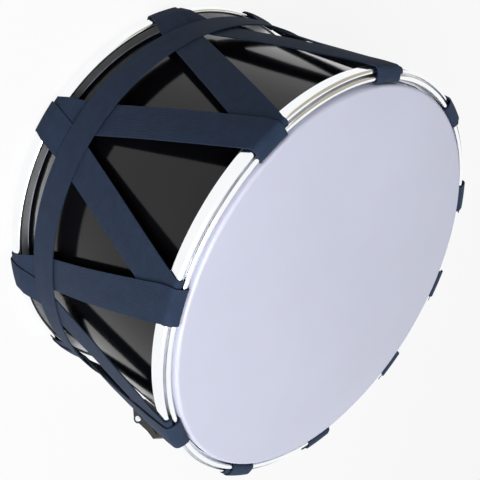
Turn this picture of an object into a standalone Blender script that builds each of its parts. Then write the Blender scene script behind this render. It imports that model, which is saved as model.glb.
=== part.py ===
"""Davul: a strap-laced two-headed drum, standing on its rear head.

The drum's axis is +Z. The rear head's face lies on z = 0 and the front head's
face on z = DEPTH. A depth written as t is measured from the nearer head's face
towards the middle of the drum, so one profile serves both ends.
"""
import math

import bmesh
import bpy
from mathutils import Matrix, Vector

MM = 0.001

# Driving sizes
DEPTH = 306 * MM              # from head face to head face
HOOP_R = 265 * MM             # outside of the two hoop bands
SHELL_R = 246 * MM            # outside of the wooden shell
SHELL_WALL = 6 * MM
STRAP_W = 40 * MM
STRAP_T = 1.4 * MM
FACETS = 48                   # sides of every large turned piece
GAP = 0.3 * MM                # left between pieces that touch

# Heads: a film that rolls over the shell's edge into a collar
FILM_T = 0.5 * MM
FILM_FLAT_R = 244.8 * MM
COLLAR_R = 249.2 * MM
COLLAR_END_T = 18.8 * MM

# Hoop bands: sheet steel with a rolled shoulder and a curled hem
SHEET_T = 1.6 * MM
LIP_T = 6.4 * MM              # depth of the shoulder's crest
SHOULDER_R = 3.8 * MM
HEM_T = 22.6 * MM             # depth of the hem's crest
HEM_R = 3.0 * MM

# Flesh hoops: aluminium profiles that the film is cast into
FLESH_IN_R = 250.2 * MM
FLESH_TOP_T = 11.4 * MM
FLESH_STEP_R = 261.6 * MM
FLESH_STEP_T = 8.4 * MM
FLESH_OUT_R = 263.0 * MM
FLESH_END_T = 19.2 * MM

# Tension rings: round rods that the webbing turns around
RING_MID_R = 255.3 * MM
RING_MID_T = 5.9 * MM
RING_ROD_R = 3.1 * MM

# Wooden rings glued inside the shell's two ends
LINER_WALL = 6 * MM
LINER_H = 30 * MM
LINER_TOP_T = 6 * MM

# Belly belt, drawn tight round the lacing near the rear hoop
BELT_MID_Z = 75 * MM
BELT_R = 262.1 * MM           # middle of the webbing
BELT_STEP = 7.5               # degrees between its stations

# Lacing: where each turn lies round the hoops, in degrees, as the lacer set it
FRONT_TURNS = (-148.8, -108.7, -67.4, -28.9, 7.3, 42.3, 77.9, 107.9, 138.9, 173.3)
REAR_TURNS = (-132.5, -88.9, -44.5, -10.8, 24.8, 60.1, 92.9, 123.4, 156.1, 192.3)
TURN_SHIFT = 8 * MM           # a strap dives this far beside the one that leaves
ARM_START_T = 12 * MM         # the arms slant between these depths
UNDER_LAYER_R = 266.05 * MM   # middle of the strap that lies on the band
OVER_LAYER_R = 268.2 * MM     # middle of the strap that lies on that one
UNDER_BELT_R = 258.0 * MM
OVER_BELT_R = 259.9 * MM
SWAP_Z = 160 * MM             # the arms lie well apart here and change layers below
SWAP_R = 261.7 * MM
SWAP_HALF = 1.0 * MM
CROSS_Z = 225 * MM            # above here neighbouring arms run over each other

# Cam buckles: one joins the lacing's ends, one closes the belly belt
BUCKLED_RUN = 7
BUCKLE_MID_Z = 173 * MM
BELT_BUCKLE_ANGLE = 76.5
BUCKLE_L = 62 * MM
BUCKLE_W = 48 * MM
BUCKLE_PLATE_T = 2 * MM
CHEEK_T = 2.2 * MM
PIN_R = 2.5 * MM
PIN_HOLE_R = 2.8 * MM
PIN_X = -6 * MM
PIN_Z = 14 * MM
PIN_HEAD_R = 4 * MM
LEVER_W = 42 * MM
SLOT_X = 25.5 * MM            # middle of the slot that holds the sewn end
SLOT_L = 6 * MM
SLOT_W = 42.5 * MM
TAIL_X = 19 * MM              # where the free end lies, under the lever
ON_PLATE = BUCKLE_PLATE_T + GAP + STRAP_T / 2 + 0.1 * MM

# Vent
VENT_ANGLE = 60.0
VENT_Z = 205 * MM
VENT_HOLE_R = 8 * MM
VENT_BORE_R = 6 * MM
VENT_FLANGE_R = 13 * MM


def clear_scene():
    for thing in list(bpy.data.objects):
        bpy.data.objects.remove(thing, do_unlink=True)


def collection(name):
    group = bpy.data.collections.new(name)
    bpy.context.scene.collection.children.link(group)
    return group


def material(name, colour, roughness, metallic=0.0):
    mat = bpy.data.materials.new(name)
    mat.use_nodes = True
    shader = mat.node_tree.nodes["Principled BSDF"]
    shader.inputs["Base Color"].default_value = (*colour, 1.0)
    shader.inputs["Roughness"].default_value = roughness
    shader.inputs["Metallic"].default_value = metallic
    return mat


def mesh_object(name, mesh, group, mat=None):
    thing = bpy.data.objects.new(name, mesh)
    group.objects.link(thing)
    if mat:
        mesh.materials.append(mat)
    return thing


def signed_area(loop):
    pairs = zip(loop, loop[1:] + loop[:1])
    return sum(a[0] * b[1] - b[0] * a[1] for a, b in pairs) / 2


def arc(mid, radius, start, end, steps):
    """Points of an arc in a profile; angles in degrees, 0 outwards, 90 to smaller t."""
    points = []
    for step in range(steps + 1):
        angle = math.radians(start + (end - start) * step / steps)
        points.append((mid[0] + radius * math.cos(angle), mid[1] - radius * math.sin(angle)))
    return points


def end_loop(points, front):
    """Turn (r, t) points into (r, z) points at the front or the rear end."""
    return [(r, DEPTH - t if front else t) for r, t in points]


def turned(name, loop, mat, group, steps=FACETS):
    """Spin a closed (r, z) loop round +Z; the loop runs down its outer side."""
    if signed_area(loop) > 0:
        loop = loop[::-1]
    on_axis = [i for i, (r, _) in enumerate(loop) if r == 0]
    if on_axis:
        start = next(i for i in on_axis if (i + 1) % len(loop) not in on_axis)
        loop = loop[start:] + loop[:start]
    mesh = bpy.data.meshes.new(name)
    edges = [(i, i + 1) for i in range(len(loop) - 1)]
    if not on_axis:
        edges.append((len(loop) - 1, 0))
    mesh.from_pydata([(r, 0, z) for r, z in loop], edges, [])
    thing = mesh_object(name, mesh, group, mat)
    spin = thing.modifiers.new("spin", "SCREW")
    spin.axis = "Z"
    spin.angle = 2 * math.pi
    spin.steps = steps
    spin.render_steps = steps
    spin.use_merge_vertices = True
    spin.merge_threshold = 0.00001
    spin.use_smooth_shade = True
    return thing


def shell_loop():
    """Staves with a rounded outer edge and a long inner bevel up to the bearing edge."""
    inner = SHELL_R - SHELL_WALL
    edge_t = FILM_T + GAP
    rear = [
        (inner, edge_t + 4 * MM),
        (SHELL_R - 3.0 * MM, edge_t),
        (SHELL_R - 1.4 * MM, edge_t),
        (SHELL_R, edge_t + 1.8 * MM),
    ]
    front = [(r, DEPTH - t) for r, t in reversed(rear)]
    return rear + front


def film_loop(front):
    """Head film: flat face, roll over the bearing edge, collar down beside the shell."""
    roll_r = COLLAR_R - FILM_FLAT_R - 0.6 * MM
    mid = (FILM_FLAT_R, roll_r)
    points = [(0, 0)] + arc(mid, roll_r, 90, 10, 2) + [(COLLAR_R, COLLAR_END_T)]
    points += [(COLLAR_R - FILM_T, COLLAR_END_T)]
    points += arc(mid, roll_r - FILM_T, 10, 90, 2) + [(0, FILM_T)]
    return end_loop(points, front)


def flesh_loop(front):
    """Stepped ring: a low seat for the film's bead and a wall that the band bears on."""
    points = [
        (FLESH_IN_R, FLESH_TOP_T),
        (FLESH_STEP_R, FLESH_TOP_T),
        (FLESH_STEP_R, FLESH_STEP_T),
        (FLESH_STEP_R + 0.5 * MM, FLESH_STEP_T),
        (FLESH_OUT_R, FLESH_STEP_T + 2 * MM),
        (FLESH_OUT_R, FLESH_END_T),
        (FLESH_IN_R, FLESH_END_T),
    ]
    return end_loop(points, front)


def band_loop(front):
    """Hoop band: rolled shoulder, straight wall, and an edge curled in to a hem."""
    shoulder = (HOOP_R - SHOULDER_R, LIP_T + SHOULDER_R)
    hem = (HOOP_R - HEM_R, HEM_T - HEM_R)
    points = arc(shoulder, SHOULDER_R, 90, 0, 3)
    points += arc(hem, HEM_R, 0, -180, 4)
    points += arc(hem, HEM_R - SHEET_T, -180, 0, 2)
    points += arc(shoulder, SHOULDER_R - SHEET_T, 0, 90, 2)
    return end_loop(points, front)


def tension_ring_loop(front):
    points = arc((RING_MID_R, RING_MID_T), RING_ROD_R, 0, 315, 7)
    return end_loop(points, front)


def liner_loop(front):
    outer = SHELL_R - SHELL_WALL - GAP
    inner = outer - LINER_WALL
    points = [
        (inner, LINER_TOP_T),
        (outer, LINER_TOP_T),
        (outer, LINER_TOP_T + LINER_H),
        (inner, LINER_TOP_T + LINER_H),
    ]
    return end_loop(points, front)


def on_drum(angle, radius, z):
    return Vector((radius * math.cos(angle), radius * math.sin(angle), z))


def webbing_strip(name, rows, columns, group, mat):
    """A band of webbing through its rows; row(across) gives a point, across from -1 to 1."""
    last = len(rows) - 1
    mesh = bpy.data.meshes.new(name)
    grid = bmesh.new()
    bmesh.ops.create_grid(grid, x_segments=last, y_segments=columns, size=1)
    for vert in grid.verts:
        row = rows[round((vert.co.x + 1) / 2 * last)]
        vert.co = row(vert.co.y)
    bmesh.ops.recalc_face_normals(grid, faces=grid.faces)
    grid.to_mesh(mesh)
    grid.free()
    thing = mesh_object(name, mesh, group, mat)
    wall = thing.modifiers.new("wall", "SOLIDIFY")
    wall.thickness = STRAP_T
    wall.offset = 0
    wall.use_even_offset = True
    split = thing.modifiers.new("split", "TRIANGULATE")
    split.quad_method = "SHORTEST_DIAGONAL"
    return thing


def hoop_row(angle, radius, z, width):
    """Webbing across which it lies round the drum."""
    return lambda across: on_drum(angle + across * width / 2 / radius, radius, z)


def belt_row(angle, radius):
    return lambda across: on_drum(angle, radius, BELT_MID_Z - across * STRAP_W / 2)


def seat_row(seat, x, height):
    """Webbing across a buckle's plate, flat."""
    return lambda across: seat @ Vector((x, -across * STRAP_W / 2, height))


def over_ring_profile():
    """(r, t) of a strap that comes from under the ring, over it and onto the band."""
    reach = RING_ROD_R + GAP + STRAP_T / 2
    under = (RING_MID_R + 0.4 * MM, RING_MID_T + reach + 0.25 * MM)
    below = (RING_MID_R - 3.3 * MM, RING_MID_T + 3.5 * MM)
    inside = (RING_MID_R - reach - 0.65 * MM, RING_MID_T)
    above = (RING_MID_R - 3.5 * MM, RING_MID_T - 3.1 * MM)
    crest = (RING_MID_R, RING_MID_T - reach - 0.15 * MM)
    shoulder = (HOOP_R - SHOULDER_R, LIP_T + SHOULDER_R)
    bridge = (shoulder[0] + 0.2 * MM, 2.85 * MM)
    down = arc(shoulder, OVER_LAYER_R - shoulder[0], 60, 0, 3)
    return [under, below, inside, above, crest, bridge] + down


def into_slot_profile():
    """(r, t) of a strap that leaves the band between its lip and the ring."""
    shoulder = (HOOP_R - SHOULDER_R, LIP_T + SHOULDER_R)
    round_lip = arc(shoulder, UNDER_LAYER_R - shoulder[0], 0, 90, 3)
    slot_r = RING_MID_R + RING_ROD_R + 1.2 * MM
    under_t = RING_MID_T + RING_ROD_R + GAP + STRAP_T / 2
    dive = [
        (slot_r + 0.4 * MM, 5.75 * MM),
        (slot_r, 7.2 * MM),
        (slot_r - 1.0 * MM, under_t - 0.5 * MM),
        (RING_MID_R + 1.5 * MM, under_t),
    ]
    return round_lip + dive


def run_ends(run):
    """Angles of the two turns that a run of lacing joins, and whether it starts in front."""
    turn = run // 2
    from_front = run % 2 == 0
    if from_front:
        start, end = FRONT_TURNS[turn], REAR_TURNS[turn]
    else:
        following = (turn + 1) % len(FRONT_TURNS)
        start, end = REAR_TURNS[turn], FRONT_TURNS[following]
    if end < start:
        end += 360
    shift = math.degrees(TURN_SHIFT / RING_MID_R)
    return math.radians(start), math.radians(end - shift), from_front


def arm_levels(from_front):
    """(z, radius) of an arm: on a hoop, under the belt, clear of the shell, on a hoop."""
    hem = HEM_T + 2 * MM
    low, high = BELT_MID_Z - STRAP_W / 2, BELT_MID_Z + STRAP_W / 2
    if from_front:
        rear_r, belt_r, swap_r, front_r = UNDER_LAYER_R, UNDER_BELT_R, SWAP_R + SWAP_HALF, OVER_LAYER_R
    else:
        rear_r, belt_r, swap_r, front_r = OVER_LAYER_R, OVER_BELT_R, SWAP_R - SWAP_HALF, UNDER_LAYER_R
    part_way = (CROSS_Z - SWAP_Z) / (DEPTH - hem - SWAP_Z)
    cross_r = swap_r + (front_r - swap_r) * part_way
    levels = [(hem, rear_r), (low, belt_r), (high, belt_r), (SWAP_Z, swap_r)]
    return levels + [(CROSS_Z, cross_r), (DEPTH - hem, front_r)]


def arm_path(run):
    """How a run lies: its start angle, degrees per metre of height, and its slant."""
    start, end, from_front = run_ends(run)
    length = DEPTH - 2 * ARM_START_T
    slant = math.atan((end - start) * UNDER_LAYER_R / length)
    start_z = DEPTH - ARM_START_T if from_front else ARM_START_T
    pitch = (end - start) / length * (-1 if from_front else 1)
    return start - pitch * start_z, pitch, slant


def run_stations(run):
    """Stations of one run: over the ring it starts from, along, and into the far slot."""
    start, end, from_front = run_ends(run)
    base, pitch, slant = arm_path(run)
    width = STRAP_W / math.cos(slant)

    def near(t):
        return DEPTH - t if from_front else t

    stations = [(start, r, near(t), STRAP_W) for r, t in over_ring_profile()]
    levels = arm_levels(from_front)
    if from_front:
        levels.reverse()
    stations += [(base + pitch * z, r, z, width) for z, r in levels]
    stations += [(end, r, DEPTH - near(t), STRAP_W) for r, t in into_slot_profile()]
    return stations


def sewn_rows(seat):
    """The end sewn into a buckle: up through the slot and out over the bar."""
    lift = ON_PLATE + 0.5 * MM
    bends = [(SLOT_X - 0.6 * MM, 0.3 * MM), (SLOT_X - 0.4 * MM, lift - 1 * MM)]
    bends += [(SLOT_X + 1.2 * MM, lift), (BUCKLE_L / 2 + 1 * MM, lift)]
    return [seat_row(seat, x, height) for x, height in bends]


def feed_rows(seat):
    """The free end: onto the plate and under the lever's nose."""
    return [seat_row(seat, x, ON_PLATE) for x in (-BUCKLE_L / 2 - 2 * MM, TAIL_X)]


def buckled_run(seat):
    """Rows of the run that the buckle joins: its feeding part and its sewn part."""
    whole = [hoop_row(*station) for station in run_stations(BUCKLED_RUN)]
    before = len(over_ring_profile()) + 3
    after = len(into_slot_profile()) + 2
    return whole[:before] + feed_rows(seat), sewn_rows(seat) + whole[-after:]


def belt_rows(seat):
    """The belly belt: sewn into its buckle's slot, round the drum, and over the plate."""
    mid = math.radians(BELT_BUCKLE_ANGLE)
    reach = (BUCKLE_L / 2 + 14 * MM) / BELT_R
    start, end = mid + reach, mid + math.tau - reach
    count = math.ceil((end - start) / math.radians(BELT_STEP))
    round_drum = [belt_row(start + (end - start) * i / count, BELT_R) for i in range(count + 1)]
    return sewn_rows(seat) + round_drum + feed_rows(seat)


def outline_curve(name, loops, thickness, group):
    """A flat piece cut from sheet: the first loop is its outline, the rest are holes."""
    curve = bpy.data.curves.new(name, "CURVE")
    curve.dimensions = "2D"
    curve.fill_mode = "BOTH"
    curve.extrude = thickness / 2
    for loop in loops:
        spline = curve.splines.new("POLY")
        spline.points.add(len(loop) - 1)
        for point, (x, y) in zip(spline.points, loop):
            point.co = (x, y, 0, 1)
        spline.use_cyclic_u = True
    thing = bpy.data.objects.new(name, curve)
    group.objects.link(thing)
    return thing


def as_mesh(curve_object, group, mat):
    """Replace a curve object by its mesh, caps welded, with its place in the mesh."""
    bpy.context.view_layer.update()
    name = curve_object.name
    evaluated = curve_object.evaluated_get(bpy.context.evaluated_depsgraph_get())
    mesh = bpy.data.meshes.new_from_object(evaluated)
    mesh.transform(curve_object.matrix_world)
    bpy.data.objects.remove(curve_object, do_unlink=True)
    shape = bmesh.new()
    shape.from_mesh(mesh)
    bmesh.ops.remove_doubles(shape, verts=shape.verts, dist=0.00001)
    bmesh.ops.recalc_face_normals(shape, faces=shape.faces)
    shape.to_mesh(mesh)
    shape.free()
    mesh.name = name
    return mesh_object(name, mesh, group, mat)


def hide_cutter(thing):
    thing.hide_render = True
    thing.display_type = "WIRE"


def combine(thing, other, operation):
    step = thing.modifiers.new(operation.lower(), "BOOLEAN")
    step.operation = operation
    step.solver = "EXACT"
    step.object = other
    hide_cutter(other)


def rectangle(x_low, x_high, y_half):
    return [(x_low, -y_half), (x_high, -y_half), (x_high, y_half), (x_low, y_half)]


def circle(radius, count, mid=(0, 0)):
    return [
        (mid[0] + radius * math.cos(math.tau * i / count), mid[1] + radius * math.sin(math.tau * i / count))
        for i in range(count)
    ]


def upright(thing, y):
    """Stand a flat x-z outline up at y, its thickness along y."""
    thing.matrix_world = Matrix.Translation((0, y, 0)) @ Matrix.Rotation(math.pi / 2, 4, "X")


def buckle_frame(name, group, cutters, mat):
    """Stamped U: a base plate with the webbing slot and two cheeks that carry the pin."""
    slot = rectangle(SLOT_X - SLOT_L / 2, SLOT_X + SLOT_L / 2, SLOT_W / 2)
    edge = rectangle(-BUCKLE_L / 2, BUCKLE_L / 2, BUCKLE_W / 2)
    plate = outline_curve(name, [edge, slot], BUCKLE_PLATE_T, cutters)
    plate.location.z = BUCKLE_PLATE_T / 2
    frame = as_mesh(plate, group, mat)
    pin = (PIN_X, PIN_Z)
    crown = arc(pin, 6.5 * MM, -20, -160, 5)
    side = [(-24 * MM, 1 * MM), (16 * MM, 1 * MM), (13 * MM, 6 * MM)] + crown + [(-21 * MM, 6 * MM)]
    for sign in (-1, 1):
        cheek = outline_curve(name + "_cheek", [side, circle(PIN_HOLE_R, 12, pin)], CHEEK_T, cutters)
        upright(cheek, sign * (BUCKLE_W - CHEEK_T - 0.2 * MM) / 2)
        combine(frame, as_mesh(cheek, cutters, mat), "UNION")
    return frame


def cam_lever(name, group, cutters, mat):
    """Cam and thumb lever in one: the nose pinches the webbing, the tip is pulled up."""
    outline = [
        (0.5, -9.6), (4, -7.6), (8, -3.2), (20, -1.2), (30, 3), (33, 7), (31, 10), (26, 8.6),
        (18, 6.6), (6, 5.6), (0, 5.2), (-4.2, 3.4), (-5.6, -1.5), (-4.4, -6.4), (-1.8, -9.0),
    ]
    outline = [(x * MM, z * MM) for x, z in outline]
    curve = outline_curve(name, [outline, circle(PIN_HOLE_R, 12)], LEVER_W, cutters)
    upright(curve, 0)
    lever = as_mesh(curve, group, mat)
    lever.location = (PIN_X, 0, PIN_Z)
    return lever


def buckle_pin(name, group, mat):
    """Rivet through both cheeks, headed outside each."""
    half = BUCKLE_W / 2 + 0.3 * MM
    head = half + 1.5 * MM
    loop = [
        (0, -head), (PIN_HEAD_R - 1 * MM, -head), (PIN_HEAD_R, -half - 0.5 * MM), (PIN_HEAD_R, -half),
        (PIN_R, -half), (PIN_R, half), (PIN_HEAD_R, half), (PIN_HEAD_R, half + 0.5 * MM),
        (PIN_HEAD_R - 1 * MM, head), (0, head),
    ]
    pin = turned(name, loop, mat, group, steps=16)
    pin.rotation_euler.x = math.pi / 2
    pin.location = (PIN_X, 0, PIN_Z)
    return pin


def cam_buckle(name, seat, group, cutters, steel, black):
    """Frame, lever and pin on an empty that sits where the plate's underside lies."""
    base = bpy.data.objects.new(name + "_seat", None)
    group.objects.link(base)
    base.matrix_world = seat
    frame = buckle_frame(name + "_frame", group, cutters, black)
    for part in (frame, cam_lever(name + "_lever", group, cutters, black), buckle_pin(name + "_pin", group, steel)):
        part.parent = base
    for step in frame.modifiers:
        step.object.parent = base


def seat_matrix(angle, radius, z, slant):
    """Plate underside's frame: x along the webbing, z straight out of the drum."""
    out = on_drum(angle, 1, 0)
    rim = Vector((-out.y, out.x, 0))
    along = rim * math.sin(slant) + Vector((0, 0, math.cos(slant)))
    across = out.cross(along)
    turn = Matrix((along, across, out)).transposed().to_4x4()
    return Matrix.Translation(on_drum(angle, radius, z)) @ turn


def vent(shell, group, cutters, mat):
    """Eyelet that lines the air hole, its flange on the outside of the shell."""
    out_of_shell = Matrix.Rotation(math.radians(VENT_ANGLE), 4, "Z") @ Matrix.Rotation(math.pi / 2, 4, "Y")
    inner = SHELL_R - SHELL_WALL
    face = SHELL_R + GAP
    loop = [
        (VENT_BORE_R, inner), (VENT_HOLE_R - GAP, inner), (VENT_HOLE_R - GAP, face),
        (VENT_FLANGE_R, face), (VENT_FLANGE_R, face + 0.6 * MM), (VENT_BORE_R + 2 * MM, face + 1.8 * MM),
        (VENT_BORE_R, face + 1.2 * MM),
    ]
    grommet = turned("vent_grommet", loop, mat, group, steps=24)
    grommet.matrix_world = Matrix.Translation((0, 0, VENT_Z)) @ out_of_shell
    hole = turned("vent_hole", [(0, inner - 4 * MM), (VENT_HOLE_R, inner - 4 * MM),
                                (VENT_HOLE_R, face + 4 * MM), (0, face + 4 * MM)], mat, cutters, steps=24)
    hole.matrix_world = grommet.matrix_world
    combine(shell, hole, "DIFFERENCE")


def main():
    clear_scene()
    drum = collection("davul")
    cutters = collection("cutters")
    lacquer = material("black lacquered wood", (0.02, 0.021, 0.024), 0.15)
    bare_wood = material("bare beech", (0.55, 0.36, 0.2), 0.6)
    film = material("milky polyester film", (0.58, 0.59, 0.69), 0.4)
    steel = material("polished steel", (0.85, 0.86, 0.88), 0.12, 1.0)
    aluminium = material("aluminium", (0.7, 0.71, 0.72), 0.35, 1.0)
    webbing = material("navy webbing", (0.028, 0.045, 0.08), 0.85)
    black_steel = material("black coated steel", (0.015, 0.015, 0.016), 0.4)

    shell = turned("shell", shell_loop(), lacquer, drum)
    vent(shell, drum, cutters, steel)
    for front, side in ((True, "front"), (False, "rear")):
        turned(side + "_reinforcement_ring", liner_loop(front), bare_wood, drum)
        turned(side + "_head", film_loop(front), film, drum)
        turned(side + "_flesh_hoop", flesh_loop(front), aluminium, drum)
        turned(side + "_hoop_band", band_loop(front), steel, drum)
        turned(side + "_tension_ring", tension_ring_loop(front), steel, drum)

    base, pitch, slant = arm_path(BUCKLED_RUN)
    plate_r = SWAP_R - SWAP_HALF - STRAP_T / 2
    lacing_seat = seat_matrix(base + pitch * BUCKLE_MID_Z, plate_r, BUCKLE_MID_Z, slant)
    plate_r = BELT_R - STRAP_T / 2 - 0.2 * MM
    belt_seat = seat_matrix(math.radians(BELT_BUCKLE_ANGLE), plate_r, BELT_MID_Z, math.pi / 2)

    for run in range(2 * len(FRONT_TURNS)):
        name = "lacing_strap_%02d" % (run + 1)
        if run == BUCKLED_RUN:
            feed, sewn = buckled_run(lacing_seat)
            webbing_strip(name + "_feed", feed, 2, drum, webbing)
            webbing_strip(name + "_sewn", sewn, 2, drum, webbing)
        else:
            rows = [hoop_row(*station) for station in run_stations(run)]
            webbing_strip(name, rows, 2, drum, webbing)
    webbing_strip("belly_belt", belt_rows(belt_seat), 1, drum, webbing)
    cam_buckle("lacing_buckle", lacing_seat, drum, cutters, steel, black_steel)
    cam_buckle("belt_buckle", belt_seat, drum, cutters, steel, black_steel)


main()
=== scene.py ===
# %% [markdown]
# A davul is a wide drum with a head at each end. Flat webbing zigzags between two steel hoops
# and pulls the heads tight. This script loads the finished construction as a fixed frame and
# dresses it: finer turned metal and film, woven webbing, gloss lacquer and black coated buckles.

# %% Load the frame
import math

import bmesh
import bpy
from mathutils import Matrix, Vector


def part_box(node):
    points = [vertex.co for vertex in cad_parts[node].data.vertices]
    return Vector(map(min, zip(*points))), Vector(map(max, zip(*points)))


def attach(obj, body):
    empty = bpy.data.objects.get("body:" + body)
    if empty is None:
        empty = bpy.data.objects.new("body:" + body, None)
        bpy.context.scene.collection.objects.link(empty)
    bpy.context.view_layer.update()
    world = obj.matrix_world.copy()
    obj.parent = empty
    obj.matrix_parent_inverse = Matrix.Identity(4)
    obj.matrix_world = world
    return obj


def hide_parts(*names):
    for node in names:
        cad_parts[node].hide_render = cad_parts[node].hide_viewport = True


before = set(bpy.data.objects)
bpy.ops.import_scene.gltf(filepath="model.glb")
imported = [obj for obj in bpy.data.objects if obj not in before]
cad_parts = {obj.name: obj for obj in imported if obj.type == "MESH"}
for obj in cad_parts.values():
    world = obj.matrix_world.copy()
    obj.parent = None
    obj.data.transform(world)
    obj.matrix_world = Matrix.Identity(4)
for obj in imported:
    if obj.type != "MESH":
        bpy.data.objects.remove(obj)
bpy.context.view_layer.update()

MM = 0.001
DRUM = "drum"
print("frame loaded,", len(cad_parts), "nodes")

# %% [markdown]
# The photograph looks down on the drum at 37 degrees with the camera rolled far over, so that
# the standing drum seems to lie on its side. A camera matrix holds the picture's right, up and
# backward directions as its first three columns, so the roll needs no angles at all.

# %% The camera
CAMERA_PLACE = Vector((0.01202, -0.83018, 0.77846))
PICTURE_RIGHT = Vector((-0.51302, 0.52200, 0.68141))
PICTURE_UP = Vector((-0.85838, -0.31198, -0.40726))
LENS_MM = 59.04
SENSOR_MM = 36

camera_data = bpy.data.cameras.new("camera")
camera_data.lens = LENS_MM
camera_data.sensor_width = SENSOR_MM
camera = bpy.data.objects.new("camera", camera_data)
bpy.context.scene.collection.objects.link(camera)
backward = PICTURE_RIGHT.cross(PICTURE_UP)
turn = Matrix((PICTURE_RIGHT, PICTURE_UP, backward)).transposed().to_4x4()
camera.matrix_world = Matrix.Translation(CAMERA_PLACE) @ turn
bpy.context.scene.camera = camera
bpy.context.scene.view_settings.view_transform = "Standard"
print("camera looks along", tuple(round(-v, 3) for v in backward))

# %% [markdown]
# Every material is a small node tree. One helper adds a node, sets its properties and sockets,
# and links what feeds it, so that a material reads as a list of what it is made of.

# %% Helpers for materials


def srgb(hex_colour):
    """Linear colour of an sRGB hex string."""
    parts = [int(hex_colour[i:i + 2], 16) / 255 for i in (1, 3, 5)]
    linear = [p / 12.92 if p <= 0.04045 else ((p + 0.055) / 1.055) ** 2.4 for p in parts]
    return (*linear, 1.0)


def add(tree, kind, settings=None, sockets=None, links=None):
    """Add a node; links maps an input socket to another node's output socket."""
    made = tree.nodes.new(kind)
    for key, value in (settings or {}).items():
        setattr(made, key, value)
    for key, value in (sockets or {}).items():
        made.inputs[key].default_value = value
    for key, source in (links or {}).items():
        tree.links.new(source, made.inputs[key])
    return made


def new_material(name, sockets):
    """A material with its Principled shader's uniform values set; returns both."""
    mat = bpy.data.materials.new(name)
    mat.use_nodes = True
    shader = mat.node_tree.nodes["Principled BSDF"]
    for key, value in sockets.items():
        shader.inputs[key].default_value = value
    return mat, mat.node_tree, shader


def ramp(tree, factor, stops):
    """Colour ramp between two (position, hex colour) stops."""
    made = add(tree, "ShaderNodeValToRGB", links={"Fac": factor})
    for element, (place, colour) in zip(made.color_ramp.elements, stops):
        element.position = place
        element.color = srgb(colour)
    return made.outputs["Color"]


def noise(tree, vector, scale, detail, rough=0.5):
    """Soft random pattern; on Object coordinates a scale of 1000 has clouds 1 mm wide."""
    made = add(tree, "ShaderNodeTexNoise", sockets={"Scale": scale, "Detail": detail, "Roughness": rough},
               links={"Vector": vector})
    return made.outputs["Fac"]


def spread(tree, factor, low, high):
    """Map a 0 to 1 pattern to a range, such as a roughness that varies a little."""
    made = add(tree, "ShaderNodeMapRange", sockets={"To Min": low, "To Max": high}, links={"Value": factor})
    return made.outputs["Result"]


def bump(tree, shader, height, distance, strength):
    """Dents of a given depth in metres, seen in the light and not in the outline."""
    made = add(tree, "ShaderNodeBump", sockets={"Strength": strength, "Distance": distance},
               links={"Height": height})
    tree.links.new(made.outputs["Normal"], shader.inputs["Normal"])


def object_point(tree):
    """Where a point lies on the drum, in metres from the rear head's middle."""
    return add(tree, "ShaderNodeTexCoord").outputs["Object"]


print("helpers ready")

# %% [markdown]
# The shell is glued wood, sprayed black and polished. Lacquer is a clear film over black, so it
# shows sharp reflections that lie over long soft waves left by the sanding, and a little dust.
# Its IOR is a little under the usual 1.5, because the photograph's lacquer reflects less.

# %% Black gloss lacquer


def gloss_lacquer():
    """Dust specks 4 mm apart, coarser than real dust so that they show, and 70 mm waves."""
    mat, tree, shader = new_material("black_gloss_lacquer_on_wood", {"IOR": 1.36})
    point = object_point(tree)
    dust = noise(tree, point, 240, 5)
    depth_of_black = noise(tree, point, 6, 2)
    black = ramp(tree, depth_of_black, [(0.35, "#08090D"), (0.7, "#141417")])
    tree.links.new(black, shader.inputs["Base Color"])
    tree.links.new(spread(tree, dust, 0.1, 0.17), shader.inputs["Roughness"])
    bump(tree, shader, noise(tree, point, 14, 2), 0.6 * MM, 0.4)
    return mat


# %% [markdown]
# The hoops are sheet steel, rolled, chromed and polished along their length. Polishing leaves
# fine lines that run round the drum; a noise squeezed along Z, to lines about 1 mm apart, draws
# them. Real ones are finer still and wouldn't show. The same finish, rougher and greyer, serves
# for the plated pins and the bare aluminium inside.

# %% Polished steel


def polished_steel(name, colour, rough_low, rough_high):
    """Metal with fine lines round the drum and clouds of tint about 30 mm wide."""
    mat, tree, shader = new_material(name, {"Metallic": 1.0})
    point = object_point(tree)
    lines = add(tree, "ShaderNodeMapping", sockets={"Scale": (6, 6, 900)}, links={"Vector": point})
    fine = noise(tree, lines.outputs["Vector"], 1.0, 6, 0.6)
    cloud = noise(tree, point, 30, 3)
    tint = ramp(tree, cloud, [(0.3, colour), (0.8, "#F4F7FA")])
    tree.links.new(tint, shader.inputs["Base Color"])
    tree.links.new(spread(tree, fine, rough_low, rough_high), shader.inputs["Roughness"])
    bump(tree, shader, fine, 0.03 * MM, 0.4)
    return mat


# %% [markdown]
# Each head is a milky polyester film. It is a matt, faintly blue white, a little uneven from its
# coating, and light spreads a short way inside it, which softens its rolled edge.

# %% Milky film


def milky_film():
    """Clouds of tint 200 mm wide and a coating whose grain is 1 mm, coarse enough to show."""
    sockets = {"IOR": 1.57, "Subsurface Weight": 0.08, "Subsurface Scale": 2 * MM}
    mat, tree, shader = new_material("coated_polyester_film", sockets)
    point = object_point(tree)
    wide = noise(tree, point, 5, 3)
    fine = noise(tree, point, 900, 3)
    tree.links.new(ramp(tree, wide, [(0.3, "#C5C7D8"), (0.7, "#CBCDDE")]), shader.inputs["Base Color"])
    tree.links.new(spread(tree, fine, 0.36, 0.5), shader.inputs["Roughness"])
    bump(tree, shader, fine, 0.04 * MM, 0.6)
    return mat


# %% [markdown]
# Webbing is a thick narrow fabric. Its warp yarns run along it in ribs and its weft crosses
# them. The pattern reads the strap's own UV map, which counts real millimetres. A wave texture
# of scale s repeats every tau / 20 / s units, so 0.157 gives ribs 2 mm apart and 0.21 a weft
# every 1.5 mm. Real ribs are about 1 mm apart; they are drawn wider so that they can show.

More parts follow.
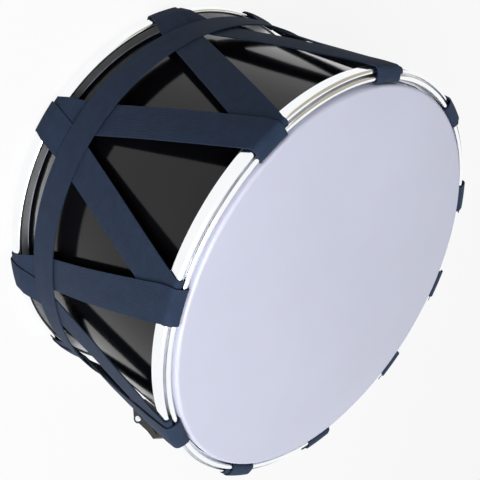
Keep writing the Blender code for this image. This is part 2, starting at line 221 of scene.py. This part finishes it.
# %% Woven webbing
RIB_SCALE, WEFT_SCALE = 0.157, 0.21


def wave_bands(tree, place, direction, scale, distortion):
    """Soft parallel bands across X or Y, such as yarns side by side."""
    made = add(tree, "ShaderNodeTexWave", {"bands_direction": direction, "wave_profile": "SIN"},
               {"Scale": scale, "Distortion": distortion}, {"Vector": place})
    return made.outputs["Fac"]


def woven_webbing(name, dark, light):
    """Yarns over clouds of wear about 17 mm wide, with a faint sheen from loose fibres."""
    mat, tree, shader = new_material(name, {"Roughness": 0.85, "Specular IOR Level": 0.25,
                                            "Sheen Weight": 0.04, "Sheen Roughness": 0.5})
    place = add(tree, "ShaderNodeUVMap", {"uv_map": "strap_mm"}).outputs["UV"]
    ribs = wave_bands(tree, place, "X", RIB_SCALE, 0.3)
    weft = wave_bands(tree, place, "Y", WEFT_SCALE, 0.5)
    weave = add(tree, "ShaderNodeMath", {"operation": "MULTIPLY"}, links={0: ribs, 1: weft}).outputs[0]
    wear = spread(tree, noise(tree, place, 0.06, 4), 0.25, 0.55)
    mixed = add(tree, "ShaderNodeMath", {"operation": "MULTIPLY_ADD"}, {1: 0.4}, {0: weave, 2: wear})
    colour = ramp(tree, mixed.outputs[0], [(0.3, dark), (0.85, light)])
    tree.links.new(colour, shader.inputs["Base Color"])
    bump(tree, shader, weave, 0.4 * MM, 0.6)
    return mat


# %% [markdown]
# The small parts need three more finishes: black coated steel with a faint orange peel, sewing
# thread, and the bare beech of the rings that only show if the drum is opened.

# %% Small finishes


def coated_steel():
    """Satin black with an orange peel of 0.7 mm and wear in patches of 8 mm."""
    mat, tree, shader = new_material("black_coated_steel", {"IOR": 1.5})
    point = object_point(tree)
    peel = noise(tree, point, 1500, 3)
    wear = noise(tree, point, 120, 5)
    tree.links.new(ramp(tree, wear, [(0.4, "#151517"), (0.8, "#26272A")]), shader.inputs["Base Color"])
    tree.links.new(spread(tree, wear, 0.3, 0.5), shader.inputs["Roughness"])
    bump(tree, shader, peel, 0.06 * MM, 0.5)
    return mat


def sewing_thread():
    """Matt thread with painted glints on its plies, small lighter spots about 0.8 mm apart."""
    mat, tree, shader = new_material("bonded_nylon_thread", {"Roughness": 0.6})
    painted_ply_glint = noise(tree, object_point(tree), 1200, 2)
    # Painted glints: the thread's colour is lighter in spots where its plies would catch the light.
    tree.links.new(ramp(tree, painted_ply_glint, [(0.3, "#1A2230"), (0.7, "#3A475C")]), shader.inputs["Base Color"])
    return mat


def bare_beech():
    """Pale wood with its grain in lines 2.5 mm apart that run round the ring."""
    mat, tree, shader = new_material("turned_beech", {"Roughness": 0.6})
    point = object_point(tree)
    grain = add(tree, "ShaderNodeMapping", sockets={"Scale": (30, 30, 400)}, links={"Vector": point})
    lines = noise(tree, grain.outputs["Vector"], 1.0, 5)
    tree.links.new(ramp(tree, lines, [(0.3, "#A9794E"), (0.7, "#CFA377")]), shader.inputs["Base Color"])
    bump(tree, shader, lines, 0.1 * MM, 0.4)
    return mat


LACQUER = gloss_lacquer()
CHROME = polished_steel("chromed_polished_steel", "#FAFBFC", 0.07, 0.14)
PLATED = polished_steel("bright_plated_steel", "#D9DCE0", 0.16, 0.28)
ALUMINIUM = polished_steel("mill_aluminium", "#C9CBCD", 0.3, 0.45)
FILM = milky_film()
WEBBING = woven_webbing("navy_woven_webbing", "#152234", "#31425F")
COATED = coated_steel()
THREAD = sewing_thread()
BEECH = bare_beech()
finishes = (LACQUER, CHROME, PLATED, ALUMINIUM, FILM, WEBBING, COATED, THREAD, BEECH)
print("materials:", [finish.name for finish in finishes])

# %% [markdown]
# Hoops, rings, films and the shell are all turned forms: one profile spun round the drum's axis.
# The construction has 48 flat sides, which polished metal would show, so each is spun again here
# with 240 steps over the same profile, its round stretches as finer arcs.

# %% Turned pieces
STEPS = 240
SMOOTH_ANGLE = math.radians(35)
rear_low, rear_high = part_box("rear_hoop_band")
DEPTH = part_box("front_head")[1].z
HOOP_R = 265 * MM
SHELL_R = 246 * MM
SHELL_WALL = 6 * MM
SHOULDER_R = 3.8 * MM
SHOULDER = (HOOP_R - SHOULDER_R, rear_low.z + SHOULDER_R)
HEM_R = 3 * MM
HEM = (HOOP_R - HEM_R, rear_high.z - HEM_R)
SHEET_T = 1.6 * MM
FILM_T = 0.5 * MM
FILM_FLAT_R = 244.8 * MM
COLLAR_R = 249.2 * MM
COLLAR_END_T = 18.8 * MM
COLLAR_FLARE = 0.6 * MM
RING = (255.3 * MM, 5.9 * MM)
RING_ROD_R = 3.1 * MM
RING_SIDES = 20


def arc(mid, radius, start, end, steps):
    """Points (r, t) of an arc; 0 degrees is outwards, 90 towards the nearer head's face."""
    angles = [math.radians(start + (end - start) * i / steps) for i in range(steps + 1)]
    return [(mid[0] + radius * math.cos(a), mid[1] - radius * math.sin(a)) for a in angles]


def at_end(points, front):
    """Turn (r, t), with t the depth from the nearer head's face, into (r, z)."""
    return [(r, DEPTH - t if front else t) for r, t in points]


def new_piece(name, mesh, mat):
    """Link a mesh as a finished piece with its finish; riding comes after its last change."""
    piece = bpy.data.objects.new(name, mesh)
    bpy.context.scene.collection.objects.link(piece)
    mesh.materials.clear()
    mesh.materials.append(mat)
    return piece


def spin(name, loop):
    """Mesh of a closed (r, z) loop turned round the Z axis, its faces pointing out."""
    shape = bmesh.new()
    rings = []
    for r, z in loop:
        if r == 0:
            rings.append([shape.verts.new((0, 0, z))] * STEPS)
            continue
        turns = [math.tau * i / STEPS for i in range(STEPS)]
        rings.append([shape.verts.new((r * math.cos(a), r * math.sin(a), z)) for a in turns])
    for here, there in zip(rings, rings[1:] + rings[:1]):
        for i in range(STEPS):
            corners = [here[i], here[i - 1], there[i - 1], there[i]]
            unique = list(dict.fromkeys(corners))
            if len(unique) > 2:
                shape.faces.new(unique)
    bmesh.ops.recalc_face_normals(shape, faces=shape.faces)
    mesh = bpy.data.meshes.new(name)
    shape.to_mesh(mesh)
    shape.free()
    mesh.shade_smooth()
    mesh.set_sharp_from_angle(angle=SMOOTH_ANGLE)
    return mesh


def film_profile():
    """Flat face in rings, a tight roll over the shell's edge, and a collar that flares a little."""
    roll_r = COLLAR_R - FILM_FLAT_R - COLLAR_FLARE
    mid = (FILM_FLAT_R, roll_r)
    flat = [(FILM_FLAT_R * share, 0) for share in (0, 0.5, 0.9, 0.985)]
    inner_flat = [(r, FILM_T) for r, _ in reversed(flat)]
    outer = arc(mid, roll_r, 90, 10, 10) + [(COLLAR_R, COLLAR_END_T)]
    inner = [(COLLAR_R - FILM_T, COLLAR_END_T)] + arc(mid, roll_r - FILM_T, 10, 90, 8)
    return flat + outer + inner + inner_flat


def band_profile():
    """Sheet with a rolled shoulder at the head and a curled hem at its inner edge."""
    outer = arc(SHOULDER, SHOULDER_R, 90, 0, 10)
    hem = arc(HEM, HEM_R, 0, -180, 14) + arc(HEM, HEM_R - SHEET_T, -180, 0, 8)
    return outer + hem + arc(SHOULDER, SHOULDER_R - SHEET_T, 0, 90, 6)


def ring_profile():
    """Round rod; the last side closes it, so the arc stops one side short of a full turn."""
    return arc(RING, RING_ROD_R, 0, 360 - 360 / RING_SIDES, RING_SIDES - 1)


for side, front in (("front", True), ("rear", False)):
    for kind, profile, mat, slot_name in (
        ("head", film_profile(), FILM, "head_film"),
        ("hoop_band", band_profile(), CHROME, "hoop_steel"),
        ("tension_ring", ring_profile(), CHROME, "hoop_steel"),
    ):
        node = side + "_" + kind
        piece = new_piece("fine_" + node, spin(node, at_end(profile, front)), mat)
        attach(piece, DRUM)
        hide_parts(node)

# %% [markdown]
# The shell is a tube with rounded bearing edges. The air hole goes right through its wall, so it
# is cut with a Boolean. The cutter is a plain cylinder that is removed again once the cut is made.

# %% The shell
VENT_ANGLE = math.radians(60)
VENT_Z = 205 * MM
VENT_HOLE_R = 8 * MM
DRILL_LENGTH = 40 * MM
DRILL_SIDES = 48


def cut_vent(piece):
    """Drill the air hole through the wall and store the result as a plain mesh."""
    tool_mesh = bpy.data.meshes.new("vent_drill")
    shape = bmesh.new()
    bmesh.ops.create_cone(shape, cap_ends=True, segments=DRILL_SIDES, radius1=VENT_HOLE_R,
                          radius2=VENT_HOLE_R, depth=DRILL_LENGTH)
    shape.to_mesh(tool_mesh)
    shape.free()
    along = Vector((math.cos(VENT_ANGLE), math.sin(VENT_ANGLE), 0))
    tool_mesh.transform(Matrix.Translation(along * SHELL_R + Vector((0, 0, VENT_Z)))
                        @ along.to_track_quat("Z", "Y").to_matrix().to_4x4())
    tool = bpy.data.objects.new("vent_drill", tool_mesh)
    bpy.context.scene.collection.objects.link(tool)
    cut = piece.modifiers.new("vent", "BOOLEAN")
    cut.operation = "DIFFERENCE"
    cut.solver = "EXACT"
    cut.object = tool
    bpy.context.view_layer.update()
    mesh = bpy.data.meshes.new_from_object(piece.evaluated_get(bpy.context.evaluated_depsgraph_get()))
    piece.modifiers.clear()
    piece.data = mesh
    bpy.data.objects.remove(tool, do_unlink=True)
    mesh.shade_smooth()
    mesh.set_sharp_from_angle(angle=SMOOTH_ANGLE)


EDGE_T = 0.8 * MM
BEVEL_T = 4 * MM
CREST = (3 * MM, 1.4 * MM)
CORNER = ((0.5 * MM, 0.7 * MM), (0, 1.8 * MM))
WALL_START_T = 30 * MM

# Seen from inside outwards: a bevel, a flat crest that carries the film, and a rounded corner.
bearing_edge = [(SHELL_R - SHELL_WALL, EDGE_T + BEVEL_T)]
bearing_edge += [(SHELL_R - inset, EDGE_T) for inset in CREST]
bearing_edge += [(SHELL_R - inset, EDGE_T + t) for inset, t in CORNER]
bearing_edge += [(SHELL_R, WALL_START_T)]
shell_loop = bearing_edge + at_end(reversed(bearing_edge), True)
shell = new_piece("fine_shell", spin("shell", shell_loop), LACQUER)
cut_vent(shell)
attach(shell, DRUM)
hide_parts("shell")
print("shell has", len(shell.data.polygons), "faces")

# %% [markdown]
# One run of lacing comes from under the near ring, wraps it, crosses the hoop's shoulder, slants
# to the far hoop and dives into the slot beside the far ring. Its stations follow the
# construction. Round the ring and shoulder they are joined by a smooth curve, and in between
# by straight lines, because pulled webbing runs straight.

# %% The path of the lacing
STRAP_W = 40 * MM
STRAP_T = 1.4 * MM
FRONT_TURNS = (-148.8, -108.7, -67.4, -28.9, 7.3, 42.3, 77.9, 107.9, 138.9, 173.3)
REAR_TURNS = (-132.5, -88.9, -44.5, -10.8, 24.8, 60.1, 92.9, 123.4, 156.1, 192.3)
UNDER_R, OVER_R = 266.05 * MM, 268.2 * MM
FROM_FRONT_RADII = (UNDER_R, 258.0 * MM, 262.7 * MM, OVER_R)
FROM_REAR_RADII = (OVER_R, 259.9 * MM, 260.7 * MM, UNDER_R)
BELT_LOW_Z, BELT_HIGH_Z = 55 * MM, 95 * MM
SWAP_Z, CROSS_Z = 160 * MM, 225 * MM
TURN_T = 12 * MM
HEM_T = 24.6 * MM
END_SHIFT = 8 * MM
REACH = RING_ROD_R + 0.3 * MM + STRAP_T / 2
CURVE_STEPS, LINE_STEPS = 5, 8


def over_ring():
    """Profile (r, t) of a run's near end: from under the ring, over it, to the hoop's shoulder."""
    wrap = [(0.4 * MM, REACH + 0.25 * MM), (-3.3 * MM, 3.5 * MM), (-REACH - 0.65 * MM, 0),
            (-3.5 * MM, -3.1 * MM), (0, -REACH - 0.15 * MM)]
    points = [(RING[0] + r, RING[1] + t) for r, t in wrap]
    return points + [(SHOULDER[0] + 0.2 * MM, 2.85 * MM)] + arc(SHOULDER, OVER_R - SHOULDER[0], 60, 0, 3)


def into_slot():
    """Profile (r, t) of a run's far end: over the shoulder and down between lip and ring."""
    slot_r = RING[0] + RING_ROD_R + 1.2 * MM
    under_t = RING[1] + REACH
    dive = [(slot_r + 0.4 * MM, 5.75 * MM), (slot_r, 7.2 * MM), (slot_r - 1 * MM, under_t - 0.5 * MM)]
    return arc(SHOULDER, UNDER_R - SHOULDER[0], 0, 90, 3) + dive + [(RING[0] + 1.5 * MM, under_t)]


def run_path(run):
    """Near, middle and far stations of a run as (angle, radius, z, width), and how it slants."""
    from_front = run % 2 == 0
    start = (FRONT_TURNS if from_front else REAR_TURNS)[run // 2]
    end = REAR_TURNS[run // 2] if from_front else FRONT_TURNS[(run // 2 + 1) % len(FRONT_TURNS)]
    end += 360 if end < start else 0
    start, end = math.radians(start), math.radians(end) - END_SHIFT / RING[0]
    length = DEPTH - 2 * TURN_T
    slant = math.atan((end - start) * UNDER_R / length)
    pitch = (end - start) / length * (-1 if from_front else 1)
    base = start - pitch * (DEPTH - TURN_T if from_front else TURN_T)
    rear_r, belt_r, swap_r, front_r = FROM_FRONT_RADII if from_front else FROM_REAR_RADII
    front_z = DEPTH - HEM_T
    cross_r = swap_r + (front_r - swap_r) * (CROSS_Z - SWAP_Z) / (front_z - SWAP_Z)
    heights = [(HEM_T, rear_r), (BELT_LOW_Z, belt_r), (BELT_HIGH_Z, belt_r), (SWAP_Z, swap_r),
               (CROSS_Z, cross_r), (front_z, front_r)]
    if from_front:
        heights.reverse()
    wide = STRAP_W / math.cos(slant)
    near = [(start, r, DEPTH - t if from_front else t, STRAP_W) for r, t in over_ring()]
    far = [(end, r, t if from_front else DEPTH - t, STRAP_W) for r, t in into_slot()]
    middle = [(base + pitch * z, r, z, wide) for z, r in heights]
    return near, middle, far, (base, pitch, slant)


def smooth_between(points, steps):
    """Points of a Catmull-Rom curve through stations, ends included."""
    out = []
    padded = [points[0]] + list(points) + [points[-1]]
    for a, b, c, d in zip(padded, padded[1:], padded[2:], padded[3:]):
        for i in range(steps):
            u = i / steps
            out.append(tuple(0.5 * (2 * q + (r - p) * u + (2 * p - 5 * q + 4 * r - s) * u * u
                                    + (3 * q - p - 3 * r + s) * u ** 3) for p, q, r, s in zip(a, b, c, d)))
    return out + [points[-1]]


def straight_between(points, steps):
    """Points along the straight lines between stations, the last station left out."""
    out = []
    for a, b in zip(points, points[1:]):
        out += [tuple(p + (q - p) * i / steps for p, q in zip(a, b)) for i in range(steps)]
    return out


def drum_row(angle, radius, z, width):
    """A row across a strap, on a circle round the drum; across runs from -1 to 1."""
    def row(across):
        turned = angle + across * width / 2 / radius
        return Vector((radius * math.cos(turned), radius * math.sin(turned), z))
    return row


near, middle, far, _ = run_path(0)
print("a run has", len(near) + len(middle) + len(far), "stations")

# %% [markdown]
# A strap is a strip of rows with a real thickness. Its UV map counts millimetres across and
# along, so that the weave keeps its scale round every bend. Solidify gives it its two faces,
# and the result is stored as a plain mesh.

# %% Strap meshes
COLUMNS = 8
STRAP_SMOOTH_ANGLE = math.radians(50)


def strip_mesh(name, rows):
    """Closed mesh of a strap through its rows, each a function of the place across it."""
    shape = bmesh.new()
    uv = shape.loops.layers.uv.new("strap_mm")
    grid = [[shape.verts.new(row(2 * c / COLUMNS - 1)) for c in range(COLUMNS + 1)] for row in rows]
    travelled = [0.0]
    for one, two in zip(rows, rows[1:]):
        travelled.append(travelled[-1] + (two(0) - one(0)).length / MM)
    place = {}
    for along, line in zip(travelled, grid):
        for c, vertex in enumerate(line):
            place[vertex] = (c / COLUMNS * STRAP_W / MM, along)
    for one, two in zip(grid, grid[1:]):
        for c in range(COLUMNS):
            face = shape.faces.new((one[c], one[c + 1], two[c + 1], two[c]))
            for loop in face.loops:
                loop[uv].uv = place[loop.vert]
    bmesh.ops.recalc_face_normals(shape, faces=shape.faces)
    mesh = bpy.data.meshes.new(name)
    shape.to_mesh(mesh)
    shape.free()
    flat = bpy.data.objects.new(name, mesh)
    bpy.context.scene.collection.objects.link(flat)
    wall = flat.modifiers.new("wall", "SOLIDIFY")
    wall.thickness = STRAP_T
    wall.offset = 0
    wall.use_even_offset = True
    bpy.context.view_layer.update()
    solid = bpy.data.meshes.new_from_object(flat.evaluated_get(bpy.context.evaluated_depsgraph_get()))
    bpy.data.objects.remove(flat, do_unlink=True)
    solid.shade_smooth()
    solid.set_sharp_from_angle(angle=STRAP_SMOOTH_ANGLE)
    return solid


def add_strap(name, rows, node):
    """Weave a strap and let it stand for a node of the construction."""
    piece = new_piece(name, strip_mesh(name, rows), WEBBING)
    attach(piece, DRUM)
    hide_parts(node)


BUCKLED_RUN = 7
for run in range(len(FRONT_TURNS) + len(REAR_TURNS)):
    if run == BUCKLED_RUN:
        continue
    near, middle, far, _ = run_path(run)
    stations = smooth_between(near, CURVE_STEPS)[:-1]
    stations += straight_between([near[-1]] + middle + [far[0]], LINE_STEPS)
    stations += smooth_between(far, CURVE_STEPS)
    node = "lacing_strap_%02d" % (run + 1)
    add_strap("woven_" + node, [drum_row(*s) for s in stations], node)
print("nineteen whole runs woven")

# %% [markdown]
# One run and the belt each end in a cam buckle. One end is sewn into the buckle's slot and the
# other feeds under the lever's nose. There the webbing lies flat on the plate, so its rows are
# placed in the buckle's own frame: x along the webbing, z straight out of the drum.

# %% Straps at the buckles
ON_PLATE = 3.1 * MM
PLATE_END = 31 * MM
SEWN_LIFT = 0.5 * MM
FED_FROM, FED_TO, FED_STEPS = -PLATE_END - 2 * MM, 19 * MM, 6
LACING_BUCKLE_R, LACING_BUCKLE_Z = 260 * MM, 173 * MM
BELT_Z = 75 * MM
BELT_R = 262.1 * MM
BELT_BUCKLE_R = 261.2 * MM
BELT_BUCKLE_ANGLE = math.radians(76.5)
BELT_CLEAR = 14 * MM
BELT_ROWS = 180
LACING_BLEND, BELT_BLEND = 6, 4


def seat(angle, radius, z, slant):
    """A buckle's own frame on the drum: x along the webbing, z straight out."""
    out = Vector((math.cos(angle), math.sin(angle), 0))
    rim = Vector((-out.y, out.x, 0))
    along = rim * math.sin(slant) + Vector((0, 0, math.cos(slant)))
    turned = Matrix((along, out.cross(along), out)).transposed().to_4x4()
    return Matrix.Translation(out * radius + Vector((0, 0, z))) @ turned


def seat_row(place, x, height):
    """A row across a strap that lies flat in a buckle's frame."""
    return lambda across: place @ Vector((x, -across * STRAP_W / 2, height))


def sewn_end(place):
    """Rows of the sewn end: up out of the buckle's slot, then flat to just past its plate."""
    lift = ON_PLATE + SEWN_LIFT
    bends = [(24.9 * MM, 0.3 * MM), (25.1 * MM, lift - 1 * MM), (26.7 * MM, lift),
             (PLATE_END + 1 * MM, lift)]
    return [seat_row(place, x, height) for x, height in smooth_between(bends, 4)]


def fed_end(place):
    """Rows of the fed end: flat on the plate, from just before it to under the lever's nose."""
    step = (FED_TO - FED_FROM) / FED_STEPS
    return [seat_row(place, FED_FROM + i * step, ON_PLATE) for i in range(FED_STEPS + 1)]


def between_rows(first, last, steps):
    """Rows that blend from one row to another, ends left out."""
    def blended(share):
        return lambda across: first(across).lerp(last(across), share)
    return [blended(i / steps) for i in range(1, steps)]


near, middle, far, (base, pitch, slant) = run_path(BUCKLED_RUN)
lacing_seat = seat(base + pitch * LACING_BUCKLE_Z, LACING_BUCKLE_R, LACING_BUCKLE_Z, slant)
feed = [drum_row(*s) for s in smooth_between(near, CURVE_STEPS)[:-1]
        + straight_between([near[-1]] + middle[:3], LINE_STEPS) + [middle[2]]]
fed = fed_end(lacing_seat)
fed_strap = feed + between_rows(feed[-1], fed[0], LACING_BLEND) + fed
add_strap("woven_lacing_strap_08_feed", fed_strap, "lacing_strap_08_feed")
sewn = sewn_end(lacing_seat)
beyond = [drum_row(*s) for s in straight_between([middle[4], middle[5], far[0]], LINE_STEPS)
          + smooth_between(far, CURVE_STEPS)]
sewn_strap = sewn + between_rows(sewn[-1], beyond[0], LACING_BLEND) + beyond
add_strap("woven_lacing_strap_08_sewn", sewn_strap, "lacing_strap_08_sewn")


def belt_row(angle):
    """A row across the belt, straight up and down the drum."""
    middle_point = Vector((BELT_R * math.cos(angle), BELT_R * math.sin(angle), BELT_Z))
    return lambda across: middle_point + Vector((0, 0, -across * STRAP_W / 2))


belt_seat = seat(BELT_BUCKLE_ANGLE, BELT_BUCKLE_R, BELT_Z, math.pi / 2)
clear = (PLATE_END + BELT_CLEAR) / BELT_R
belt_start = BELT_BUCKLE_ANGLE + clear
belt_step = (math.tau - 2 * clear) / BELT_ROWS
belt_round = [belt_row(belt_start + i * belt_step) for i in range(BELT_ROWS + 1)]
belt_sewn, belt_fed = sewn_end(belt_seat), fed_end(belt_seat)
belt = belt_sewn + between_rows(belt_sewn[-1], belt_round[0], BELT_BLEND) + belt_round
belt += between_rows(belt_round[-1], belt_fed[0], BELT_BLEND) + belt_fed
add_strap("woven_belly_belt", belt, "belly_belt")
print("buckled run and belt woven")

# %% [markdown]
# Box stitching holds each sewn end. A stitch is one small rounded bead of thread, and what
# repeats along a line is what Geometry Nodes are for: the curve is resampled to points at the
# stitch spacing, a stitch stands on each, turned along the curve, and the result is realised.

# %% Stitches with Geometry Nodes
STITCH_LENGTH, STITCH_SPACING, THREAD_R = 2.4 * MM, 3.2 * MM, 0.45 * MM
ABOVE_MIDDLE = STRAP_T / 2 + 0.1 * MM
NEAR_SEAM, FAR_SEAM, SIDE_SEAM = 0.08, 0.92, 0.85


def stitch_tree():
    """Node group that stands a bead of thread at each stitch along a curve."""
    tree = bpy.data.node_groups.new("stitches_along_a_line", "GeometryNodeTree")
    face = tree.interface
    face.new_socket("Geometry", in_out="INPUT", socket_type="NodeSocketGeometry")
    face.new_socket("Geometry", in_out="OUTPUT", socket_type="NodeSocketGeometry")
    for label in ("Stitch length", "Spacing", "Thread radius"):
        face.new_socket(label, in_out="INPUT", socket_type="NodeSocketFloat")
    face.new_socket("Thread", in_out="INPUT", socket_type="NodeSocketMaterial")
    enter = add(tree, "NodeGroupInput").outputs
    points = add(tree, "GeometryNodeCurveToPoints", {"mode": "LENGTH"},
                 links={"Curve": enter["Geometry"], "Length": enter["Spacing"]})
    ball = add(tree, "GeometryNodeMeshUVSphere", sockets={"Segments": 8, "Rings": 5},
               links={"Radius": enter["Thread radius"]})
    stretch = add(tree, "ShaderNodeMath", {"operation": "DIVIDE"},
                  links={0: enter["Stitch length"], 1: enter["Thread radius"]})
    half_stretch = add(tree, "ShaderNodeMath", {"operation": "MULTIPLY"}, {1: 0.5}, {0: stretch.outputs[0]})
    shape = add(tree, "ShaderNodeCombineXYZ", sockets={"X": 1.0, "Y": 1.0},
                links={"Z": half_stretch.outputs[0]})
    copies = add(tree, "GeometryNodeInstanceOnPoints",
                 links={"Points": points.outputs["Points"], "Instance": ball.outputs["Mesh"],
                        "Rotation": points.outputs["Rotation"], "Scale": shape.outputs["Vector"]})
    real = add(tree, "GeometryNodeRealizeInstances", links={"Geometry": copies.outputs["Instances"]})
    coloured = add(tree, "GeometryNodeSetMaterial",
                   links={"Geometry": real.outputs["Geometry"], "Material": enter["Thread"]})
    add(tree, "NodeGroupOutput", links={"Geometry": coloured.outputs["Geometry"]})
    return tree


def stitched_lines(name, tree, lines):
    """Stitches along poly lines, as one plain mesh piece on the drum."""
    curve = bpy.data.curves.new(name, "CURVE")
    curve.dimensions = "3D"
    for line in lines:
        spline = curve.splines.new("POLY")
        spline.points.add(len(line) - 1)
        for point, place in zip(spline.points, line):
            point.co = (*place, 1)
    guide = bpy.data.objects.new(name + "_guide", curve)
    bpy.context.scene.collection.objects.link(guide)
    work = guide.modifiers.new("stitches", "NODES")
    work.node_group = tree
    values = {"Stitch length": STITCH_LENGTH, "Spacing": STITCH_SPACING,
              "Thread radius": THREAD_R, "Thread": THREAD}
    for item in tree.interface.items_tree:
        if item.name in values:
            work[item.identifier] = values[item.name]
    bpy.context.view_layer.update()
    mesh = bpy.data.meshes.new_from_object(guide.evaluated_get(bpy.context.evaluated_depsgraph_get()))
    bpy.data.objects.remove(guide, do_unlink=True)
    mesh.shade_smooth()
    piece = new_piece(name, mesh, THREAD)
    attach(piece, DRUM)
    return piece


def box_stitch(first, last):
    """A stitched box with its cross on the outer face of a strap between two rows."""
    out = (first(1) - first(-1)).cross(last(0) - first(0)).normalized()
    if out.dot(Vector((first(0).x, first(0).y, 0))) < 0:
        out = -out

    def corner(share, across):
        return first(across).lerp(last(across), share) + out * ABOVE_MIDDLE

    box = [corner(NEAR_SEAM, -SIDE_SEAM), corner(FAR_SEAM, -SIDE_SEAM),
           corner(FAR_SEAM, SIDE_SEAM), corner(NEAR_SEAM, SIDE_SEAM)]
    return [box + box[:1], [box[0], box[2]], [box[1], box[3]]]


stitches = stitch_tree()
half_way = between_rows(sewn[-1], beyond[0], 2)[0]
lacing_stitch = stitched_lines("lacing_box_stitch", stitches, box_stitch(sewn[-1], half_way))
stitched_lines("belt_box_stitch", stitches, box_stitch(belt_sewn[-1], belt_round[0]))
print("stitches:", len(lacing_stitch.data.polygons), "faces on the lacing")

# %% [markdown]
# What stays as constructed still gets its finish: buckles, pins, the vent's eyelet and the pieces
# inside. A node's object only has its material slots changed, never its mesh.

# %% Finishes of the carried-over pieces
FINISHES = {
    "vent_grommet": PLATED, "front_reinforcement_ring": BEECH, "rear_reinforcement_ring": BEECH,
    "front_flesh_hoop": ALUMINIUM, "rear_flesh_hoop": ALUMINIUM,
}
for name in ("lacing_buckle", "belt_buckle"):
    FINISHES[name + "_frame"] = COATED
    FINISHES[name + "_lever"] = COATED
    FINISHES[name + "_pin"] = PLATED
for name, finish in FINISHES.items():
    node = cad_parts[name]
    if not node.material_slots:
        node.data.materials.append(finish)
    for slot in node.material_slots:
        slot.material = finish
print("finished", len(FINISHES), "carried-over pieces")

# %% [markdown]
# The drum stands on a pale floor under soft light. The world is a dim grey for lighting, but
# white where the camera, a reflection or glass looks at it, so that the background is white and
# the chrome shows it, without more light on the drum. A beige card on one side, hidden from the
# camera, gives the chrome and the lacquer something other than white to reflect there.

# %% Floor, card, world and lamps
FLOOR_SIZE = 6.0
FLOOR_DROP = 0.5 * MM
FLOOR_WHITE_SHARE = 0.9
CARD_SIZE = 2.0
CARD_PLACE = (-1.5, -0.2, 1.1)
WORLD_STRENGTH = 0.13
KEY_PLACE, KEY_SIZE, KEY_WATTS = (1.2, -1.2, 2.2), 1.6, 80
FILL_PLACE, FILL_SIZE, FILL_WATTS = (0.7, -2.4, 0.9), 1.2, 12


def flat_square(name, size, place, mat):
    """A level square of one face, moved by a matrix, that is there only for the picture."""
    mesh = bpy.data.meshes.new(name)
    shape = bmesh.new()
    bmesh.ops.create_grid(shape, x_segments=1, y_segments=1, size=size / 2)
    shape.to_mesh(mesh)
    shape.free()
    mesh.transform(place)
    mesh.materials.append(mat)
    square = bpy.data.objects.new(name, mesh)
    bpy.context.scene.collection.objects.link(square)
    return square


def pale_floor():
    """White to the camera and to reflections, and a dull grey for the light it throws back."""
    mat = bpy.data.materials.new("pale_floor")
    mat.use_nodes = True
    tree = mat.node_tree
    tree.nodes.clear()
    rays = add(tree, "ShaderNodeLightPath").outputs
    matt = add(tree, "ShaderNodeBsdfDiffuse", sockets={"Color": srgb("#D8D8DA")})
    white = add(tree, "ShaderNodeEmission", sockets={"Color": (1, 1, 1, 1)},
                links={"Strength": rays["Is Camera Ray"]})
    both = add(tree, "ShaderNodeMixShader", sockets={0: FLOOR_WHITE_SHARE},
               links={1: matt.outputs[0], 2: white.outputs[0]})
    bright = add(tree, "ShaderNodeEmission", sockets={"Color": (1, 1, 1, 1), "Strength": 1.0})
    mixed = add(tree, "ShaderNodeMixShader",
                links={0: rays["Is Glossy Ray"], 1: both.outputs[0], 2: bright.outputs[0]})
    add(tree, "ShaderNodeOutputMaterial", links={"Surface": mixed.outputs[0]})
    return mat


def beige_card():
    """Plain beige glow, as bright as lit paper."""
    mat = bpy.data.materials.new("beige_card")
    mat.use_nodes = True
    tree = mat.node_tree
    tree.nodes.clear()
    glow = add(tree, "ShaderNodeEmission", sockets={"Color": srgb("#B7AE9C"), "Strength": 1.0})
    add(tree, "ShaderNodeOutputMaterial", links={"Surface": glow.outputs[0]})
    return mat


floor = flat_square("floor", FLOOR_SIZE, Matrix.Translation((0, 0, -FLOOR_DROP)), pale_floor())
upright = Matrix.Rotation(math.pi / 2, 4, "Y")
card = flat_square("warm_card", CARD_SIZE, Matrix.Translation(CARD_PLACE) @ upright, beige_card())
card.visible_camera = False
card.visible_diffuse = False

world = bpy.data.worlds.new("studio")
bpy.context.scene.world = world
world.use_nodes = True
sky = world.node_tree
sky.nodes.clear()
rays = add(sky, "ShaderNodeLightPath").outputs
seen = add(sky, "ShaderNodeMath", {"operation": "ADD"},
           links={0: rays["Is Camera Ray"], 1: rays["Is Glossy Ray"]}).outputs[0]
seen = add(sky, "ShaderNodeMath", {"operation": "ADD", "use_clamp": True},
           links={0: seen, 1: rays["Is Transmission Ray"]}).outputs[0]
dim = add(sky, "ShaderNodeBackground", sockets={"Color": srgb("#DCE2EE"), "Strength": WORLD_STRENGTH})
white = add(sky, "ShaderNodeBackground", sockets={"Color": (1, 1, 1, 1), "Strength": 1.0})
mixed = add(sky, "ShaderNodeMixShader", links={0: seen, 1: dim.outputs[0], 2: white.outputs[0]})
add(sky, "ShaderNodeOutputWorld", links={"Surface": mixed.outputs[0]})


def soft_lamp(name, place, size, watts):
    """Square area lamp that looks at the middle of the drum."""
    data = bpy.data.lights.new(name, "AREA")
    data.size = size
    data.energy = watts
    lamp = bpy.data.objects.new(name, data)
    bpy.context.scene.collection.objects.link(lamp)
    target = Vector((0, 0, DEPTH / 2))
    lamp.matrix_world = (Matrix.Translation(place)
                         @ (target - Vector(place)).to_track_quat("-Z", "Y").to_matrix().to_4x4())


soft_lamp("key", KEY_PLACE, KEY_SIZE, KEY_WATTS)
soft_lamp("fill", FILL_PLACE, FILL_SIZE, FILL_WATTS)
print("two lamps, a floor and a card")
